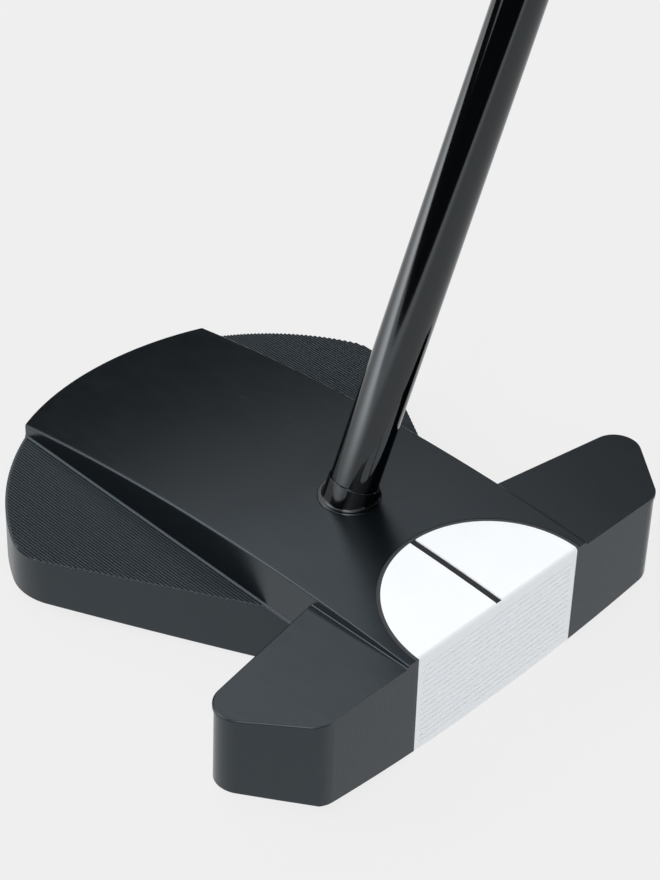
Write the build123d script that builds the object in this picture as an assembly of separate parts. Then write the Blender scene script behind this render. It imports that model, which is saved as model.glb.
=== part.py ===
from build123d import *
import math
import os

# Mallet putter, right-handed. Millimetres, +Z up, face towards -Y, heel towards +X.
# Origin: on the sole's resting flat, on the head's middle plane, under the shaft's entry.
# Everything is drawn with y = 0 at the top edge of the face and moved by REST_Y when saved.

# Crown spine: an arched slab that runs from the face to the round tail
CROWN_HALF = 24.0          # half width of the crown
ARCH_R = 421.0             # radius of the crown's arch, seen from the side
ARCH_Y = 20.0              # where the arch is highest
ARCH_Z = 24.44             # how high it is there
TAIL_R = 51.6              # round tail outline
TAIL_Y = 58.1              # centre of that circle
CROWN_EDGE = 0.4           # rounding of the crown's long edges
CROWN_ROOT = 0.3           # rounding where the crown meets the blocks

# Front bar: toe and heel blocks either side of the insert
FACE_LOFT = 1.5            # degrees
BAR_FRONT_X = 45.1         # front outer corner
BAR_REAR_X = 59.4          # rear outer corner before rounding
BAR_REAR_Y = 18.1
BAR_BACK_Y = 24.05         # back edge next to the crown
BAR_TOP_Z = 23.3           # block top at the face
BAR_TOP_FALL = 0.0410      # drop per millimetre towards the rear
BAR_CORNER_R = 5.0
BAR_EDGE = 0.35            # rounding of the lip's upper edge
BAR_NOSE_R = 5.0
LIP = 0.3                  # overhang of the block's top edge
LIP_T = 0.9                # thickness of that edge

# Sole
REST_Y = 39.0              # the origin is this far behind the top edge of the face
SOLE_R = 330.0             # heel to toe camber
SOLE_FLAT = 0.10           # depth of the flat the head rests on
LEAD_RISE = 0.75           # the leading edge is this far off the ground

# Wings
WING_Z = 14.80             # wing top plane, projected to y = 0
WING_FALL = 0.0135
WING_X0 = 3.9              # wing side line, x = WING_X0 + WING_DX * y
WING_DX = 0.58
WING_CORNER_R = 10.0
WING_STEP = 0.35           # the ribbed field lies this far below the crown's foot
FOOT_T = 0.3               # chamfered shoulder along the foot of the crown walls
WING_EDGE = 0.3            # rounding of the wing's lower edge
KEEL_HALF = 14.0

# Insert
DISC_R = 21.35             # half of a golf ball
DISC_Y = 0.35
SEAL_T = 0.8               # grey ring between insert and crown
SEAL_DROP = 0.1            # how far it lies below the crown
FACE_T = 4.5
SKIN_T = 3.5
FLOOR_Z = 3.0
LINE_W = 1.5               # aiming groove in the insert's top
LINE_DROP = 0.3            # the paint in it lies this far below the top
BROW_R = 0.8
GROOVES = 15               # fine lines across the insert's face
GROOVE_PITCH = 1.3
GROOVE_W = 0.3
GROOVE_DEPTH = 0.2
GROOVE_LOW = 2.9           # height of the lowest line
GROOVE_MARGIN = 1.3        # plain border left and right of the lines

# Shaft
SHAFT_X = 1.10
SHAFT_Y = 39.10
SHAFT_Z = 24.00
LEAN_SIDE = 20.0           # degrees towards the heel
LEAN_FRONT = 1.2           # degrees towards the face
TIP_R = 4.7
BUTT_R = 7.1
SHAFT_WALL = 0.55
BORE_DEPTH = 19.6
BOND_T = 0.15
COLLAR_R = 5.0             # sleeve of the collar
COLLAR_TOP = 3.2           # its height along the shaft
FLANGE_R = 6.1             # rolled flange of the collar
FLANGE_RISE = 0.3
FLANGE_SEAT = 1.5
STEP_FROM = 230.0
STEP_LEN = 30.0
STEPS = 10
SHAFT_TOP = 835.0
GRIP_FROM = 577.0
TAPE_T = 0.25

BAR_WALL_Y = BAR_BACK_Y - LIP    # back wall of the bar, where keel and wings butt
BIG = 300.0

os.makedirs("parts", exist_ok=True)


def save(shape, name):
    export_step(Pos(0, -REST_Y, 0) * shape, f"parts/{name}.step")


def column(sketch, z0, z1):
    return Pos(0, 0, z0) * extrude(sketch, amount=z1 - z0)


def below_arch(drop=0.0):
    """Everything under the arched crown surface, or a parallel one below it."""
    radius = ARCH_R - drop
    centre = Pos(0, ARCH_Y, ARCH_Z - ARCH_R)
    return centre * Rot(0, 90, 0) * Cylinder(radius, BIG)


def wing_plane_cut(above):
    """Half space above or below the wing top plane."""
    sign = 1 if above else -1
    angle = -math.degrees(math.atan(WING_FALL))
    return Pos(0, 0, WING_Z) * Rot(angle, 0, 0) * Pos(0, 0, sign * BIG / 2) * Box(2 * BIG, 2 * BIG, BIG)


def behind_face():
    """Half space behind the lofted face plane."""
    return Pos(0, 0, ARCH_Z) * Rot(-FACE_LOFT, 0, 0) * Pos(0, BIG / 2, 0) * Box(BIG, BIG, BIG)


def over_sole():
    """Space above the cambered sole, whose front part rises towards the face."""
    rim = 62.0
    rise = SOLE_R - math.sqrt(SOLE_R ** 2 - rim ** 2) - SOLE_FLAT
    half_flat = math.sqrt(2 * SOLE_R * SOLE_FLAT)
    bend = SOLE_R - math.sqrt(SOLE_R ** 2 - 35.0 ** 2) - SOLE_FLAT
    with BuildSketch(Plane.XZ.offset(-BAR_BACK_Y)) as section:
        with BuildLine():
            ThreePointArc((half_flat, 0), (35.0, bend), (rim, rise))
            Polyline((rim, rise), (rim, 60), (-rim, 60), (-rim, rise))
            ThreePointArc((-rim, rise), (-35.0, bend), (-half_flat, 0))
            Line((-half_flat, 0), (half_flat, 0))
        make_face()
    rear = extrude(section.sketch, amount=100, dir=(0, 1, 0))
    front = extrude(section.sketch, amount=30, dir=(0, -1, LEAD_RISE / BAR_BACK_Y))
    return rear + front


def bar_outline(inset=0.0):
    nose = 5.0
    slope = (BAR_REAR_X - BAR_FRONT_X) / BAR_REAR_Y
    front = BAR_FRONT_X - slope * nose
    points = [(-front, -nose), (-BAR_REAR_X, BAR_REAR_Y), (-CROWN_HALF, BAR_BACK_Y)]
    points += [(CROWN_HALF, BAR_BACK_Y), (BAR_REAR_X, BAR_REAR_Y), (front, -nose)]
    shape = make_face(Polyline(*points, close=True))
    corners = [v for v in shape.vertices() if abs(v.X) > BAR_REAR_X - 0.1]
    shape = fillet(corners, BAR_CORNER_R)
    if inset:
        shape = offset(shape, amount=-inset)
    return shape


def nose_space(inset=0.0):
    """Space behind the lofted face whose two front corners are rounded."""
    slope = (BAR_REAR_X - BAR_FRONT_X) / BAR_REAR_Y
    front = BAR_FRONT_X - inset * math.hypot(1, slope)
    rear = front + slope * 60
    shape = make_face(Polyline((-front, 0), (-rear, 60), (rear, 60), (front, 0), close=True))
    corners = [v for v in shape.vertices() if v.Y < 1]
    shape = fillet(corners, BAR_NOSE_R)
    shear = math.tan(math.radians(FACE_LOFT))
    low = Pos(0, -shear * (ARCH_Z + 5), -5) * shape
    return extrude(low, amount=50, dir=(0, shear, 1))


def bar_top_cut():
    angle = -math.degrees(math.atan(BAR_TOP_FALL))
    return Pos(0, 0, BAR_TOP_Z) * Rot(angle, 0, 0) * Pos(0, 0, -BIG / 2) * Box(BIG, BIG, BIG)


def disc_room(radius):
    """The room of the insert: a half disc with a full-height slot at the face."""
    post = Pos(0, DISC_Y, 15) * Cylinder(radius, 50)
    above = Pos(0, 0, FLOOR_Z + 50) * Box(BIG, BIG, 100)
    slot = Pos(0, FACE_T - 20, 0) * Box(BIG, 40, 100)
    return post & (above + slot)


def shaft_frame():
    tx = math.tan(math.radians(LEAN_SIDE))
    ty = -math.tan(math.radians(LEAN_FRONT))
    direction = Vector(tx, ty, 1)
    return Plane(origin=(SHAFT_X, SHAFT_Y, SHAFT_Z), x_dir=(1, 0, -tx), z_dir=direction)


def collar_seat(radius, z0, z1):
    """Disc square to the crown, where the collar's flange sits."""
    return Pos(SHAFT_X, SHAFT_Y, SHAFT_Z + (z0 + z1) / 2) * Cylinder(radius, z1 - z0)


def on_shaft(radius, t0, t1):
    return shaft_frame() * Pos(0, 0, (t0 + t1) / 2) * Cylinder(radius, t1 - t0)


def screw_spots():
    return [(s * 18.6, y) for s in (-1, 1) for y in (47.0, 67.0, 87.0)]


def screw(x, y, head_r, head_t, shank_r, top):
    """A countersunk-seat cap screw that comes up from the sole, with a hex socket."""
    start = 1.2
    body = Pos(x, y, start + head_t / 2) * Cylinder(head_r, head_t)
    body += Pos(x, y, (start + head_t + top) / 2) * Cylinder(shank_r, top - start - head_t)
    hexagon = Pos(x, y, start) * extrude(RegularPolygon(head_r * 0.5, 6), amount=head_t * 0.6)
    return body - hexagon


def screw_room(x, y, head_r, head_t, shank_r, top):
    room = Pos(x, y, (1.2 + head_t) / 2 - 5) * Cylinder(head_r, 1.2 + head_t + 10)
    return room + Pos(x, y, top / 2) * Cylinder(shank_r, top)


def tail_outline():
    return Pos(0, TAIL_Y) * Circle(TAIL_R)


def boss(radius):
    return Pos(-2.8, SHAFT_Y, (FLOOR_Z + 20) / 2) * Cylinder(radius, 20 - FLOOR_Z)


WING_SCREW = (2.9, 2.6, 1.5, 14.6)
KEEL_SCREW = (3.4, 3.0, 2.0, 15.2)
CORE_SCREW = (3.0, 2.0, 1.5, 12.0)
KEEL_SPOTS = [(0.0, 62.0), (0.0, 88.0)]
CORE_SPOTS = [(-9.0, 13.0), (9.0, 13.0)]
BAR_WEIGHT_AT = (43.0, 12.2)
BAR_WEIGHT_R = 7.6
BAR_WEIGHT_STEM = 6.5
BAR_WEIGHT_TOP = 14.0
TAIL_PLUG_AT = (35.0, 76.0)
TAIL_PLUG_R = 6.5
TAIL_PLUG_TOP = 7.0


def sole_frame(side, at):
    """Frame on the cambered sole whose z axis points into the head."""
    x, y = at
    angle = -side * math.degrees(math.asin(x / SOLE_R))
    return Pos(0, y, SOLE_R - SOLE_FLAT) * Rot(0, angle, 0) * Pos(0, 0, -SOLE_R)


def post(radius, z0, z1):
    return Pos(0, 0, (z0 + z1) / 2) * Cylinder(radius, z1 - z0)


def bar_weight_room(side):
    room = post(BAR_WEIGHT_R, -8, 2.6) + post(BAR_WEIGHT_STEM, 0, BAR_WEIGHT_TOP)
    return sole_frame(side, BAR_WEIGHT_AT) * room


def crown_foot():
    """Chamfered shoulders along the foot of both crown walls."""
    y0 = BAR_WALL_Y - 1
    inner = CROWN_HALF - 1
    outer = CROWN_HALF + FOOT_T
    points = [(inner, 0), (CROWN_HALF, 0), (CROWN_HALF, -WING_STEP), (outer, -WING_STEP)]
    points += [(outer, -0.05), (CROWN_HALF, FOOT_T), (inner, FOOT_T)]
    with BuildSketch(Plane.XZ) as section:
        with BuildLine():
            Polyline(*points, close=True)
        make_face()
    strip = extrude(section.sketch, amount=100, dir=(0, 1, -WING_FALL))
    strip = Pos(0, y0, WING_Z - WING_FALL * y0) * strip & column(tail_outline(), 0, 40)
    return strip + mirror(strip, Plane.YZ)


def head_body():
    plan = tail_outline() + Pos(0, 20) * Rectangle(4 * CROWN_HALF, 90)
    plan &= Pos(0, 50) * Rectangle(2 * CROWN_HALF, 130)
    crown = column(plan, 0, 40) & below_arch()
    crown &= wing_plane_cut(above=True)
    crown &= behind_face()
    lip = column(bar_outline(), 0, 40) & bar_top_cut() & nose_space()
    edge = [e for e in lip.edges() if abs(e.center().X) > 30 or e.center().Y < 3]
    edge = [e for e in edge if e.center().Z > 20 and abs(e.tangent_at(0.5).Z) < 0.5]
    lip = fillet(edge, BAR_EDGE)
    lip -= Pos(0, 0, -LIP_T) * bar_top_cut()
    blocks = column(bar_outline(LIP), -1, 40) & bar_top_cut() & nose_space(LIP)
    body = crown + crown_foot() + lip + blocks
    body &= over_sole()
    roots = [e for e in body.edges() if abs(abs(e.center().X) - CROWN_HALF) < 0.05
             and 5 < e.center().Y < 16 and 22 < e.center().Z < 23.6]
    body = fillet(roots, CROWN_ROOT)
    rims = [e for e in body.edges() if abs(abs(e.center().X) - CROWN_HALF) < 0.05
            and e.center().Z > 19 and e.length > 50]
    body = fillet(rims, CROWN_EDGE)
    body -= disc_room(DISC_R + SEAL_T)
    body += boss(9.2) & (Pos(0, 0, 9.5) * Box(BIG, BIG, 13))
    bore = on_shaft(TIP_R + BOND_T, -BORE_DEPTH, 20)
    recess = collar_seat(FLANGE_R, -FLANGE_SEAT, 20)
    body -= bore
    body -= recess
    for x, y in screw_spots():
        body -= screw_room(x, y, *WING_SCREW)
    for x, y in KEEL_SPOTS:
        body -= screw_room(x, y, *KEEL_SCREW)
    for x, y in CORE_SPOTS:
        body -= screw_room(x, y, *CORE_SCREW)
    for side in (-1, 1):
        body -= bar_weight_room(side)
    return body


def lower_body():
    """Toe wing, keel and heel wing as one blank, before it is parted."""
    y0 = BAR_WALL_Y
    far = 100.0
    points = [(-WING_X0 - WING_DX * y0, y0), (-WING_X0 - WING_DX * far, far), (-60, 130)]
    points += [(60, 130), (WING_X0 + WING_DX * far, far), (WING_X0 + WING_DX * y0, y0)]
    plan = make_face(Polyline(*points, close=True)) & tail_outline()
    corners = [v for v in plan.vertices() if abs(v.X) > 40]
    plan = fillet(corners, WING_CORNER_R)
    blank = column(plan, -1, 40) & wing_plane_cut(above=False) & over_sole()
    low = [e for e in blank.edges() if e.center().Z < 8 and abs(e.center().Y - y0) > 0.5]
    return fillet([e for e in low if abs(e.center().X) > 12], WING_EDGE)


def wing(side, blank):
    part = blank & (Pos(side * (KEEL_HALF + 50), 70, 0) * Box(100, 200, 100))
    field = Pos(side * (CROWN_HALF + 50), 70, 0) * Box(100, 200, 100)
    part -= field & (Pos(0, 0, -WING_STEP) * wing_plane_cut(above=True))
    for x, y in screw_spots():
        part -= screw_room(x, y, *WING_SCREW)
    part -= sole_frame(side, TAIL_PLUG_AT) * post(TAIL_PLUG_R, -8, TAIL_PLUG_TOP)
    return part


def keel(blank):
    part = blank & (Pos(0, 70, 0) * Box(2 * KEEL_HALF, 200, 100))
    part -= boss(9.2)
    for x, y in KEEL_SPOTS:
        part -= screw_room(x, y, *KEEL_SCREW)
    return part


def bar_weight(side):
    """Screw-in sole weight with a hex socket and two spanner holes."""
    part = post(BAR_WEIGHT_R, 0.4, 2.0) + post(BAR_WEIGHT_STEM, 2.0, BAR_WEIGHT_TOP)
    part -= extrude(RegularPolygon(2.6, 6), amount=3.4)
    for turn in (-1, 1):
        part -= Pos(turn * 4.9, 0, 0) * post(0.8, 0, 1.4)
    return sole_frame(side, BAR_WEIGHT_AT) * part


def weight_washer(side):
    ring = post(BAR_WEIGHT_R, 2.0, 2.6) - post(BAR_WEIGHT_STEM, 2.0, 2.6)
    return sole_frame(side, BAR_WEIGHT_AT) * ring


def tail_plug(side):
    return sole_frame(side, TAIL_PLUG_AT) * post(TAIL_PLUG_R, 0.3, TAIL_PLUG_TOP)


def face_grooves():
    """Fine level lines cut across the face, short of its borders."""
    half = DISC_R - GROOVE_MARGIN
    shear = math.tan(math.radians(FACE_LOFT))
    lines = []
    for i in range(GROOVES):
        z = GROOVE_LOW + i * GROOVE_PITCH
        y = -(ARCH_Z - z) * shear
        lines.append(Pos(0, y, z) * Box(2 * half, 2 * GROOVE_DEPTH, GROOVE_W))
    return Compound(lines)


def line_bar():
    return Pos(0, 11.65, 24) * Box(LINE_W, 22.7, 4)


def brow_space():
    """Space under the arch and behind the face, with the insert's rounded brow."""
    space = below_arch() & behind_face()
    brow = [e for e in space.edges() if abs(e.center().Y) < 0.5 and abs(e.center().Z - ARCH_Z) < 0.5]
    return fillet(brow, BROW_R)


def face_insert():
    part = disc_room(DISC_R) & brow_space() & over_sole()
    part -= Pos(0, FACE_T + 50, 0) * Box(BIG, 100, 2 * BIG) & below_arch(SKIN_T)
    part -= line_bar() - below_arch(0.6)
    return part - face_grooves()


def alignment_line():
    return (line_bar() & disc_room(DISC_R) & below_arch(LINE_DROP)) - below_arch(0.6)


def insert_core():
    part = disc_room(DISC_R) & below_arch(SKIN_T)
    part &= Pos(0, FACE_T + 50, FLOOR_Z + 50) * Box(BIG, 100, 100)
    for x, y in CORE_SPOTS:
        part -= screw_room(x, y, *CORE_SCREW)
    return part


def insert_seal():
    part = disc_room(DISC_R + SEAL_T) - disc_room(DISC_R)
    return part & below_arch(SEAL_DROP) & behind_face() & over_sole()


def collar():
    """Collar at the shaft's foot: a sleeve that flares into a rolled flange on the crown."""
    sleeve = on_shaft(COLLAR_R, -1.2, COLLAR_TOP)
    lip = [e for e in sleeve.edges() if e.center().Z > SHAFT_Z]
    sleeve = fillet(lip, 0.12)
    flange = collar_seat(FLANGE_R, -FLANGE_SEAT, FLANGE_RISE)
    rim = [e for e in flange.edges() if e.center().Z > SHAFT_Z and e.length > 30]
    body = sleeve + fillet(rim, 0.25)
    flare = [e for e in body.edges() if abs(e.center().Z - SHAFT_Z - FLANGE_RISE) < 0.15
             and e.bounding_box().size.X < 2 * COLLAR_R + 1]
    body = fillet(flare, 0.5)
    body -= column(Pos(SHAFT_X, SHAFT_Y) * Circle(20), 0, SHAFT_Z - FLANGE_SEAT)
    return body - on_shaft(TIP_R, -10, 10)


def bond_sleeve():
    outer = on_shaft(TIP_R + BOND_T, -BORE_DEPTH, 5) & column(Circle(BIG), 0, SHAFT_Z - FLANGE_SEAT)
    return outer - on_shaft(TIP_R, -BORE_DEPTH + BOND_T, 10)


def shaft():
    """Steel tube: parallel tip, short steps, parallel butt."""
    wall = SHAFT_WALL
    grow = (BUTT_R - TIP_R) / STEPS
    start = -BORE_DEPTH + BOND_T
    tube = on_shaft(TIP_R, start, STEP_FROM) - on_shaft(TIP_R - wall, start - 1, STEP_FROM)
    for i in range(STEPS):
        low = STEP_FROM + i * STEP_LEN
        high = SHAFT_TOP if i == STEPS - 1 else low + STEP_LEN
        radius = TIP_R + (i + 1) * grow
        tube += on_shaft(radius, low, high) - on_shaft(radius - wall, low, high)
    return tube


def tip_plug():
    start = -BORE_DEPTH + BOND_T
    return on_shaft(TIP_R - SHAFT_WALL, start, start + 9)


def grip_tape():
    return on_shaft(BUTT_R + TAPE_T, GRIP_FROM + 3, SHAFT_TOP) - on_shaft(BUTT_R, GRIP_FROM, SHAFT_TOP + 1)


def grip_section(radius, flat):
    """Round back with a flat thumb face towards the toe."""
    round_part = Circle(radius)
    keep = Pos(radius - flat, 0) * Rectangle(2 * radius, 4 * radius)
    shape = round_part & keep
    return fillet(shape.vertices(), 3.0)


def grip():
    frame = shaft_frame()
    stations = [(GRIP_FROM, 9.6, 8.9), (GRIP_FROM + 90, 11.6, 10.2), (SHAFT_TOP, 15.2, 12.4)]
    profiles = [frame * Pos(0, 0, t) * grip_section(r, f) for t, r, f in stations]
    body = loft(profiles)
    body -= on_shaft(BUTT_R, GRIP_FROM - 1, GRIP_FROM + 3)
    return body - on_shaft(BUTT_R + TAPE_T, GRIP_FROM + 3, SHAFT_TOP + 1)


def grip_cap():
    frame = shaft_frame()
    disc = frame * Pos(0, 0, SHAFT_TOP) * extrude(grip_section(15.2, 12.4), amount=4.0)
    tops = [e for e in disc.edges() if frame.to_local_coords(e.center()).Z > SHAFT_TOP + 3.9]
    disc = fillet(tops, 2.0)
    return disc - on_shaft(1.5, SHAFT_TOP, SHAFT_TOP + 5)


def main():
    blank = lower_body()
    save(head_body(), "head_body")
    save(wing(-1, blank), "toe_wing")
    save(wing(1, blank), "heel_wing")
    save(keel(blank), "keel")
    save(Compound([screw(x, y, *WING_SCREW) for x, y in screw_spots()]), "wing_screws")
    save(Compound([screw(x, y, *KEEL_SCREW) for x, y in KEEL_SPOTS]), "keel_screws")
    save(Compound([screw(x, y, *CORE_SCREW) for x, y in CORE_SPOTS]), "core_screws")
    save(bar_weight(-1), "toe_weight")
    save(bar_weight(1), "heel_weight")
    save(Compound([weight_washer(s) for s in (-1, 1)]), "weight_washers")
    save(tail_plug(-1), "toe_tail_plug")
    save(tail_plug(1), "heel_tail_plug")
    save(face_insert(), "face_insert")
    save(alignment_line(), "alignment_line")
    save(insert_core(), "insert_core")
    save(insert_seal(), "insert_seal")
    save(collar(), "shaft_collar")
    save(bond_sleeve(), "bond_sleeve")
    save(shaft(), "shaft")
    save(tip_plug(), "tip_plug")
    save(grip_tape(), "grip_tape")
    save(grip(), "grip")
    save(grip_cap(), "grip_cap")


main()
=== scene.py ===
"""Mallet putter: finishes, wing ribs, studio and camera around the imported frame."""
import math
import bpy
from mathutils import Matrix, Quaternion, Vector


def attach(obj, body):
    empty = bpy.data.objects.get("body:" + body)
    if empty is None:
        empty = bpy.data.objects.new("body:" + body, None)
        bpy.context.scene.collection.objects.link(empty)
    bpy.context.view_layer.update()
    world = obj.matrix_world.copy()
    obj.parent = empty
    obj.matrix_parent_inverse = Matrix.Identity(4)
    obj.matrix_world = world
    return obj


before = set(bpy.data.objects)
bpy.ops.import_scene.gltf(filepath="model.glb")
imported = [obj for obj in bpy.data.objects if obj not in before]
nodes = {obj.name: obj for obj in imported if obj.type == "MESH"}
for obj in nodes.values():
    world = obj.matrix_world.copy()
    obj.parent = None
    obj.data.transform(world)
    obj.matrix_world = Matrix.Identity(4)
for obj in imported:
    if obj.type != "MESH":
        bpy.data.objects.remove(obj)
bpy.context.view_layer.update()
MM = 0.001

# ------------------------------------------------------------------ sizes, mm
REST_Y = 39.0                   # face plane to the frame's origin
CROWN_HALF = 24.0               # half width of the crown; the ribs start outside it
WING_Z = 14.80                  # wing top plane above the face
WING_FALL = 0.0135              # its slope towards the tail
TAIL_R, TAIL_Y = 51.6, 58.1     # circle of the tail outline
SIDE_X0, SIDE_DX = 3.9, 0.58    # straight side of a wing: x = SIDE_X0 + SIDE_DX * y
CORNER_R = 10.0                 # rounding between side and tail circle
RIB_PITCH = 0.575
RIB_HEIGHT = 0.35
RIB_SINK = 0.04                 # how far the rib pieces sit in the wing
RIB_BEVEL = 0.14                # bevel at both ends of a rib
RIB_GAP = 0.02                  # the ribs stop this far inside the outline
RIB_START_GAP = 0.05            # first rib to the shoulder of the crown wall
RIB_REACH_GAP = 0.25            # last rib to the widest point of the wing
FOOT_T = 0.3                    # shoulder at the foot of the crown wall
LEAN_SIDE = math.radians(20)    # shaft towards the heel
LEAN_FRONT = math.radians(1.2)  # shaft towards the face
SHAFT_AT = Vector((1.10, 0.10, 24.0)) * MM     # foot of the shaft's axis
MILL_RADIUS = 0.052             # fly cutter's arc on the face, metres
MILL_CENTRE_Z = 0.015
MILL_PITCH = 0.00046
MILL_DEPTH = 0.005              # mm
KNURL_COUNT = 34.0              # diamonds round the grip
KNURL_PITCH = 0.0044            # and along it, metres


def link(obj):
    bpy.context.scene.collection.objects.link(obj)
    return obj


# ------------------------------------------------------------------ node helpers
class Build:
    """A material's node tree, with short calls for the nodes used here."""

    def __init__(self, name):
        self.mat = bpy.data.materials.new(name)
        self.mat.use_nodes = True
        self.tree = self.mat.node_tree
        self.bsdf = self.tree.nodes["Principled BSDF"]
        self.coord = self.tree.nodes.new("ShaderNodeTexCoord").outputs["Object"]

    def put(self, socket, value):
        if isinstance(value, bpy.types.NodeSocket):
            self.tree.links.new(value, socket)
        else:
            socket.default_value = value

    def math(self, operation, *values):
        made = self.tree.nodes.new("ShaderNodeMath")
        made.operation = operation
        for socket, value in zip(made.inputs, values):
            self.put(socket, value)
        return made.outputs[0]

    def mapping(self, scale=(1, 1, 1), rotation=(0, 0, 0), location=(0, 0, 0), source=None):
        made = self.tree.nodes.new("ShaderNodeMapping")
        made.inputs["Scale"].default_value = scale
        made.inputs["Rotation"].default_value = rotation
        made.inputs["Location"].default_value = location
        self.tree.links.new(source or self.coord, made.inputs["Vector"])
        return made.outputs[0]

    def on_shaft(self):
        """Coordinates whose Z runs up the shaft's axis."""
        moved = self.mapping(location=tuple(-c for c in SHAFT_AT))
        turned = self.mapping(rotation=(0, -LEAN_SIDE, 0), source=moved)
        return self.mapping(rotation=(LEAN_FRONT, 0, 0), source=turned)

    def noise(self, scale, detail=2.0, rough=0.5, source=None):
        made = self.tree.nodes.new("ShaderNodeTexNoise")
        made.inputs["Scale"].default_value = scale
        made.inputs["Detail"].default_value = detail
        made.inputs["Roughness"].default_value = rough
        self.tree.links.new(source or self.coord, made.inputs["Vector"])
        return made.outputs["Fac"]

    def spread(self, value, low, high, smooth=False, start=0.0, end=1.0):
        made = self.tree.nodes.new("ShaderNodeMapRange")
        made.interpolation_type = "SMOOTHSTEP" if smooth else "LINEAR"
        self.put(made.inputs["Value"], value)
        for key, number in (("From Min", start), ("From Max", end), ("To Min", low), ("To Max", high)):
            self.put(made.inputs[key], number)
        return made.outputs["Result"]

    def split(self, vector):
        made = self.tree.nodes.new("ShaderNodeSeparateXYZ")
        self.tree.links.new(vector, made.inputs[0])
        return made.outputs

    def ramp(self, value, dark, light):
        made = self.tree.nodes.new("ShaderNodeValToRGB")
        made.color_ramp.elements[0].position = 0.3
        made.color_ramp.elements[1].position = 0.7
        made.color_ramp.elements[0].color = (*dark, 1)
        made.color_ramp.elements[1].color = (*light, 1)
        self.tree.links.new(value, made.inputs["Fac"])
        return made.outputs["Color"]

    def bump(self, height, depth, strength=1.0, after=None):
        made = self.tree.nodes.new("ShaderNodeBump")
        made.inputs["Strength"].default_value = strength
        made.inputs["Distance"].default_value = depth
        self.put(made.inputs["Height"], height)
        if after is not None:
            self.tree.links.new(after, made.inputs["Normal"])
        return made.outputs["Normal"]

    def finish(self, colour, rough, normal, metallic=0.0, specular=0.5, tint=(1, 1, 1)):
        self.put(self.bsdf.inputs["Base Color"], colour)
        self.put(self.bsdf.inputs["Roughness"], rough)
        if normal is not None:
            self.put(self.bsdf.inputs["Normal"], normal)
        self.bsdf.inputs["Metallic"].default_value = metallic
        self.bsdf.inputs["Specular IOR Level"].default_value = specular
        self.bsdf.inputs["Specular Tint"].default_value = (*tint, 1)
        return self.mat


COOL = (0.74, 0.885, 1.0)        # cool reflection of the black surfaces


def anodised(name, rough=0.25, grain=0.005, milled=False, specular=0.60):
    """Satin black anodised aluminium: blasted grain, cloudy roughness, optional fly-cut face."""
    b = Build(name)
    cloud = b.noise(55, 4, 0.6)
    fine = b.noise(9000, 2, 0.6)
    colour = b.ramp(cloud, (0.0024, 0.0036, 0.0048), (0.0036, 0.0052, 0.0066))
    scuff = b.noise(600, 3, 0.7, b.mapping((1, 0.12, 1)))
    roughness = b.spread(scuff, rough - 0.05, rough + 0.05)
    normal = b.bump(fine, grain * MM)
    if milled:
        x, y, z = b.split(b.coord)
        geometry = b.tree.nodes.new("ShaderNodeNewGeometry")
        facing = b.split(geometry.outputs["Normal"])[1]
        mask = b.spread(facing, 1.0, 0.0, True, -0.995, -0.96)
        drop = b.math("SUBTRACT", z, MILL_CENTRE_Z)
        sag = b.math("SUBTRACT", MILL_RADIUS ** 2, b.math("POWER", drop, 2.0))
        arc = b.math("SUBTRACT", x, b.math("SQRT", b.math("MAXIMUM", sag, 0.0)))
        wobble = b.math("MULTIPLY", b.noise(180, 2), 0.0006)
        phase = b.math("MULTIPLY", b.math("ADD", arc, wobble), 2 * math.pi / MILL_PITCH)
        wave = b.math("MULTIPLY", b.math("SINE", phase), mask)
        patches = b.spread(b.noise(90, 3, 0.6), 0.25, 1.0, True, 0.35, 0.65)
        normal = b.bump(b.math("MULTIPLY", wave, patches), MILL_DEPTH * MM, 1.0, normal)
        roughness = b.math("ADD", roughness, b.math("MULTIPLY", mask, 0.12))
    return b.finish(colour, roughness, normal, specular=specular, tint=COOL)


def ribbed(name):
    """Crests painted lighter and grooves painted darker by height, as painted shade; the crests are
    also smoother than the cut grooves between them.
    """
    b = Build(name)
    x, y, z = b.split(b.coord)
    plane = b.math("MULTIPLY", b.math("ADD", y, REST_Y * MM), -WING_FALL)
    height = b.math("SUBTRACT", z, b.math("ADD", plane, (WING_Z - RIB_HEIGHT) * MM))
    level = b.math("DIVIDE", height, RIB_HEIGHT * MM)
    cutter = b.noise(2600, 2, 0.6, b.mapping((1, 0.05, 1)))
    painted_crest_shade_and_roughness = b.math("MULTIPLY", level, b.spread(cutter, 0.8, 1.2))
    # painted shade: colour darker down in the grooves and lighter on the crests, by height on the rib
    colour = b.ramp(painted_crest_shade_and_roughness, (0.0026, 0.0038, 0.0052), (0.0072, 0.0094, 0.0116))
    roughness = b.spread(painted_crest_shade_and_roughness, 0.44, 0.30)
    return b.finish(colour, roughness, b.bump(cutter, 0.006 * MM), specular=0.72, tint=COOL)


def gloss(name, rough, specular=0.63, drawn=0.0008):
    """Gloss black plating with a trace of drawing lines along the tube."""
    b = Build(name)
    lines = b.noise(900, 2, 0.5, b.mapping((1, 1, 0.02), source=b.on_shaft()))
    dust = b.noise(5000, 2, 0.6)
    colour = b.ramp(lines, (0.0009, 0.0011, 0.0014), (0.0013, 0.0016, 0.0020))
    roughness = b.spread(dust, rough * 0.75, rough * 1.35)
    return b.finish(colour, roughness, b.bump(lines, drawn * MM), specular=specular,
                    tint=(0.88, 0.95, 1.0))


def urethane(name, top, low, rough=0.42):
    b = Build(name)
    cloud = b.noise(160, 3, 0.5)
    fine = b.noise(7000, 2, 0.5)
    return b.finish(b.ramp(cloud, low, top), b.spread(fine, rough - 0.06, rough + 0.06),
                    b.bump(fine, 0.003 * MM), specular=0.45)


def metal(name, colour, rough, brush=(1, 0.03, 1), scale=9000):
    b = Build(name)
    lines = b.noise(scale, 3, 0.6, b.mapping(brush))
    dark = tuple(c * 0.82 for c in colour)
    return b.finish(b.ramp(lines, dark, colour), b.spread(lines, rough - 0.08, rough + 0.1),
                    b.bump(lines, 0.003 * MM), metallic=1.0)


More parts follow.
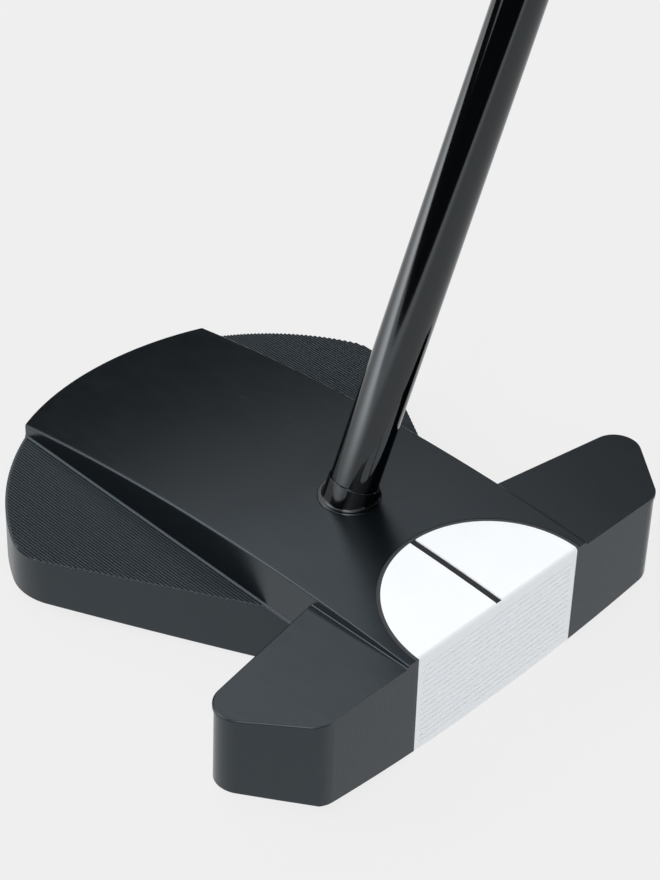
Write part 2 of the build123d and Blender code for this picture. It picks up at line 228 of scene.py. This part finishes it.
def rubber(name, colour, rough=0.62, knurl=False):
    """Moulded rubber; the grip has a shallow diamond texture wound round the shaft's axis."""
    b = Build(name)
    fine = b.noise(4200, 3, 0.6)
    normal = b.bump(fine, 0.02 * MM)
    if knurl:
        local = b.on_shaft()
        x, y, z = b.split(local)
        turn = b.math("MULTIPLY", b.math("ARCTAN2", y, x), KNURL_COUNT)
        along = b.math("MULTIPLY", z, 2 * math.pi / KNURL_PITCH)
        left = b.math("SINE", b.math("ADD", turn, along))
        right = b.math("SINE", b.math("SUBTRACT", turn, along))
        cells = b.spread(b.math("MAXIMUM", left, right), 1.0, 0.0, True, 0.72, 0.98)
        normal = b.bump(cells, 0.12 * MM, 1.0, normal)
    light = tuple(c * 1.35 for c in colour)
    return b.finish(b.ramp(b.noise(240, 3), colour, light), b.spread(fine, rough - 0.08, rough + 0.1),
                    normal, specular=0.4)


def plain(name, colour, rough, scale=1500, depth=0.01):
    """Moulded plastic, adhesive or tape: mottled colour and a fine surface."""
    b = Build(name)
    fine = b.noise(scale, 3, 0.6)
    dark = tuple(c * 0.8 for c in colour)
    return b.finish(b.ramp(fine, dark, colour), b.spread(fine, rough - 0.08, rough + 0.08),
                    b.bump(fine, depth * MM), specular=0.4)


def assign(mat, *names):
    for name in names:
        obj = nodes[name]
        if not obj.material_slots:
            obj.data.materials.append(mat)
        for s in obj.material_slots:
            s.material = mat


assign(anodised("crown_black", milled=True), "head_body")
assign(anodised("wing_black", 0.33), "toe_wing", "heel_wing")
assign(anodised("sole_black", 0.38), "keel")
assign(metal("screw_steel", (0.42, 0.43, 0.45), 0.34), "wing_screws", "keel_screws", "core_screws")
assign(metal("weight_steel", (0.52, 0.53, 0.55), 0.28), "toe_weight", "heel_weight")
assign(metal("plug_steel", (0.36, 0.37, 0.39), 0.36), "toe_tail_plug", "heel_tail_plug")
assign(rubber("washer_rubber", (0.020, 0.020, 0.022)), "weight_washers")
assign(urethane("insert_white", (0.905, 0.935, 0.965), (0.89, 0.922, 0.952)), "face_insert")
assign(plain("line_black", (0.012, 0.013, 0.015), 0.5, 6000, 0.004), "alignment_line")
assign(plain("core_plastic", (0.10, 0.10, 0.11), 0.5), "insert_core")
assign(plain("seal_grey", (0.045, 0.048, 0.052), 0.5, 5000, 0.006), "insert_seal")
assign(gloss("collar_black", 0.07), "shaft_collar")
assign(gloss("shaft_black", 0.055), "shaft")
assign(plain("epoxy_grey", (0.25, 0.25, 0.24), 0.45), "bond_sleeve")
assign(plain("plug_plastic", (0.55, 0.55, 0.53), 0.5), "tip_plug")
assign(plain("tape_white", (0.7, 0.69, 0.66), 0.7, 2500), "grip_tape")
assign(rubber("grip_rubber", (0.014, 0.014, 0.016), knurl=True), "grip")
assign(rubber("cap_rubber", (0.012, 0.012, 0.014), 0.5), "grip_cap")


# ------------------------------------------------------------------ ribs
def corner_centre():
    """Centre of the rounding that touches a wing's straight side and its tail circle."""
    slant = math.hypot(1, SIDE_DX)
    shift = SIDE_X0 - CORNER_R * slant
    a = SIDE_DX ** 2 + 1
    b = 2 * (SIDE_DX * shift - TAIL_Y)
    c = shift ** 2 + TAIL_Y ** 2 - (TAIL_R - CORNER_R) ** 2
    y = (-b + math.sqrt(b * b - 4 * a * c)) / (2 * a)
    return SIDE_DX * y + shift, y


def wing_span(x):
    """Front and rear end of the wing's top at |x|, measured from the face."""
    cx, cy = corner_centre()
    slant = math.hypot(1, SIDE_DX)
    half = math.sqrt(max(CORNER_R ** 2 - (x - cx) ** 2, 0)) if x > cx else 0
    on_side = x <= cx + CORNER_R / slant
    on_tail = x <= cx * TAIL_R / (TAIL_R - CORNER_R)
    front = (x - SIDE_X0) / SIDE_DX if on_side else cy - half
    rear = TAIL_Y + math.sqrt(TAIL_R ** 2 - x * x) if on_tail else cy + half
    return front, rear


# one rib across its pitch: (share of the pitch, share of the height)
RIB_PROFILE = ((0.0, 0.97), (0.10, 1.0), (0.22, 0.97), (0.30, 0.60), (0.40, 0.22), (0.52, 0.04),
               (0.60, 0.0), (0.68, 0.04), (0.80, 0.22), (0.90, 0.60))


def wing_ribs(name, side):
    """Closed strip of parallel ridges that ends flush with the wing's outline."""
    reach = corner_centre()[0] + CORNER_R - RIB_REACH_GAP
    sections = []
    start = CROWN_HALF + FOOT_T + RIB_START_GAP
    count = int((reach - start) / RIB_PITCH)
    for i in range(count):
        for share, level in RIB_PROFILE:
            sections.append((start + (i + share) * RIB_PITCH, level))
    sections.append((start + count * RIB_PITCH, 0.9))
    verts = []
    faces = []
    for x, level in sections:
        front, rear = wing_span(x)
        front, rear = front + RIB_GAP, rear - RIB_GAP
        ends = ((front, 0), (front, 1), (front + 2 * RIB_BEVEL, 2),
                (rear - 1.3 * RIB_BEVEL, 2), (rear, 1), (rear, 0))
        for y, step in ends:
            foot = WING_Z - WING_FALL * y - RIB_HEIGHT
            top = RIB_HEIGHT * level
            z = foot + (-RIB_SINK, max(top - RIB_BEVEL, 0.25 * top), top)[step]
            verts.append((side * x * MM, (y - REST_Y) * MM, z * MM))
    ring = 6
    for i in range(len(sections) - 1):
        a, b = ring * i, ring * i + ring
        for k in range(ring):
            n = (k + 1) % ring
            faces.append((a + k, b + k, b + n, a + n))
    last = ring * (len(sections) - 1)
    faces.append(tuple(range(ring)))
    faces.append(tuple(last + k for k in reversed(range(ring))))
    if side < 0:
        faces = [tuple(reversed(f)) for f in faces]
    mesh = bpy.data.meshes.new(name)
    mesh.from_pydata(verts, [], faces)
    mesh.update()
    obj = link(bpy.data.objects.new(name, mesh))
    mesh.materials.append(ribs_mat)
    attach(obj, "root")
    return obj


ribs_mat = ribbed("ribs_black")
wing_ribs("toe_wing_ribs", -1)
wing_ribs("heel_wing_ribs", 1)

# ------------------------------------------------------------------ floor
PALE = 0.86                     # radiance of floor and background
MAIN_POWER = 1.75               # light over the tail
STRIP_POWER = 2.5               # strip past the zenith
TOE_POWER = 3.6                 # panel on the toe side
LOW_POWER = 1.6                 # panel near the horizon, seen in the shaft
FRONT_POWER = 1.05              # panel in front of the face
FLOOR_X, FLOOR_Y = (-2.4, 4), (-4, 0.9)
FLOOR_DIFFUSE = 0.052           # floor colour, taken off its emission
POOL_AT = (-0.55, 0.45)         # centre of the painted pool of light on the floor
floor_mesh = bpy.data.meshes.new("floor")
floor_mesh.from_pydata([(FLOOR_X[0], FLOOR_Y[0], 0), (FLOOR_X[1], FLOOR_Y[0], 0),
                        (FLOOR_X[1], FLOOR_Y[1], 0), (FLOOR_X[0], FLOOR_Y[1], 0)], [], [(0, 1, 2, 3)])
floor = link(bpy.data.objects.new("floor", floor_mesh))
table = Build("floor_pale")
table.finish(table.ramp(table.noise(3), (0.05, 0.05, 0.05), (FLOOR_DIFFUSE,) * 3), 0.9, None,
             specular=0.0)
table.bsdf.inputs["Emission Color"].default_value = (1, 1, 1, 1)
pool = table.mapping(location=(-POOL_AT[0], -POOL_AT[1], 0))
reach = table.tree.nodes.new("ShaderNodeVectorMath")
reach.operation = "LENGTH"
table.tree.links.new(pool, reach.inputs[0])
# painted pool of light: floor emission raised up to 4 around POOL_AT, fading out by 0.63 m
painted_light_pool = table.spread(reach.outputs["Value"], 4.0, 0.0, True, 0.1, 0.63)
# painted glow: floor emission raised towards negative x, the toe side
painted_toe_side_glow = table.spread(table.split(table.coord)[0], 0.7, 0.0, True, -1.2, -0.35)
glow = table.math("ADD", table.math("ADD", painted_light_pool, painted_toe_side_glow), PALE - FLOOR_DIFFUSE)
table.put(table.bsdf.inputs["Emission Strength"], glow)
floor_mesh.materials.append(table.mat)

# ------------------------------------------------------------------ studio light
world = bpy.data.worlds.new("studio")
bpy.context.scene.world = world
world.use_nodes = True
wt = world.node_tree
back = wt.nodes["Background"]


def wnode(kind, **settings):
    made = wt.nodes.new(kind)
    for key, value in settings.items():
        setattr(made, key, value)
    return made


def wmath(operation, *values):
    made = wnode("ShaderNodeMath", operation=operation)
    for socket, value in zip(made.inputs, values):
        if isinstance(value, bpy.types.NodeSocket):
            wt.links.new(value, socket)
        else:
            socket.default_value = value
    return made.outputs[0]


def wstep(value, start, end, low=0.0, high=1.0):
    made = wnode("ShaderNodeMapRange", interpolation_type="SMOOTHSTEP")
    wt.links.new(value, made.inputs["Value"])
    for key, number in (("From Min", start), ("From Max", end), ("To Min", low), ("To Max", high)):
        made.inputs[key].default_value = number
    return made.outputs["Result"]


direction = wnode("ShaderNodeTexCoord").outputs["Generated"]
parts = wnode("ShaderNodeSeparateXYZ")
wt.links.new(direction, parts.inputs[0])
dx, dy, dz = parts.outputs
height = wmath("DEGREES", wmath("ARCSINE", dz))
azimuth = wmath("DEGREES", wmath("ARCTAN2", dy, dx))      # -180 to 180 from +X


def panel(az0, az1, el0, el1, soft, power):
    """A soft-edged light panel between two azimuths and two heights, in degrees."""
    sides = wmath("MULTIPLY", wstep(azimuth, az0 - soft, az0 + soft),
                  wstep(azimuth, az1 - soft, az1 + soft, 1, 0))
    ends = wmath("MULTIPLY", wstep(height, el0 - 0.7, el0 + 0.7),
                 wstep(height, el1 - 4, el1 + 4, 1, 0))
    return wmath("MULTIPLY", wmath("MULTIPLY", sides, ends), power)


ROOM = 0.012                    # light from everywhere else
# main light over the tail: fades towards the heel and the horizon
lean = wmath("ADD", wmath("ADD", wmath("MULTIPLY", dx, -0.6), wmath("MULTIPLY", dy, 0.43)),
             wmath("MULTIPLY", dz, 0.7))
band = wmath("MULTIPLY", wstep(height, 25.0, 42.0), wstep(height, 52.0, 68.0, 1.0, 0.2))
overhead = wmath("MULTIPLY", wmath("MULTIPLY", wstep(lean, 0.20, 0.42), band), MAIN_POWER)
# narrow strip from the toe side of the face up past the zenith
across = wmath("ABSOLUTE", wmath("ADD", wmath("MULTIPLY", dx, -0.559), wmath("MULTIPLY", dy, 0.829)))
along = wmath("ADD", wmath("MULTIPLY", dx, -0.829), wmath("MULTIPLY", dy, -0.559))
strip = wmath("MULTIPLY", wmath("MULTIPLY", wstep(across, 0.10, 0.19, 1, 0), wstep(along, -0.35, -0.2)),
              wstep(height, 12.0, 20.0))
lights = (overhead, wmath("MULTIPLY", strip, STRIP_POWER),
          panel(116, 159, 24, 48, 4, TOE_POWER), panel(100, 144, 1.9, 24, 1, LOW_POWER),
          panel(-140, -75, 10, 34, 3, FRONT_POWER))
total = wmath("ADD", lights[0], ROOM)
for light in lights[1:]:
    total = wmath("ADD", total, light)
seen = wnode("ShaderNodeLightPath").outputs["Is Camera Ray"]
mix = wnode("ShaderNodeMix", data_type="FLOAT")
wt.links.new(seen, mix.inputs[0])
wt.links.new(total, mix.inputs[2])
mix.inputs[3].default_value = PALE
wt.links.new(mix.outputs[0], back.inputs["Strength"])
back.inputs["Color"].default_value = (1, 1, 1, 1)
bpy.context.scene.view_settings.view_transform = "Standard"

# ------------------------------------------------------------------ camera
CAM_AT = (-0.25972, -0.23718, 0.32397)
LOOK_AZ, LOOK_DOWN, ROLL = math.radians(42.26), math.radians(39.40), math.radians(3.355)
look = Vector((math.cos(LOOK_DOWN) * math.cos(LOOK_AZ), math.cos(LOOK_DOWN) * math.sin(LOOK_AZ),
               -math.sin(LOOK_DOWN)))
cam_data = bpy.data.cameras.new("camera")
cam = link(bpy.data.objects.new("camera", cam_data))
cam.rotation_mode = "QUATERNION"
cam.rotation_quaternion = look.to_track_quat("-Z", "Y") @ Quaternion((0, 0, 1), ROLL)
cam.location = CAM_AT
cam_data.sensor_width = 36
cam_data.lens = 100.88
cam_data.shift_x = -0.0260
cam_data.shift_y = 0.0143
cam_data.clip_start = 0.01
cam_data.clip_end = 50
bpy.context.scene.camera = cam
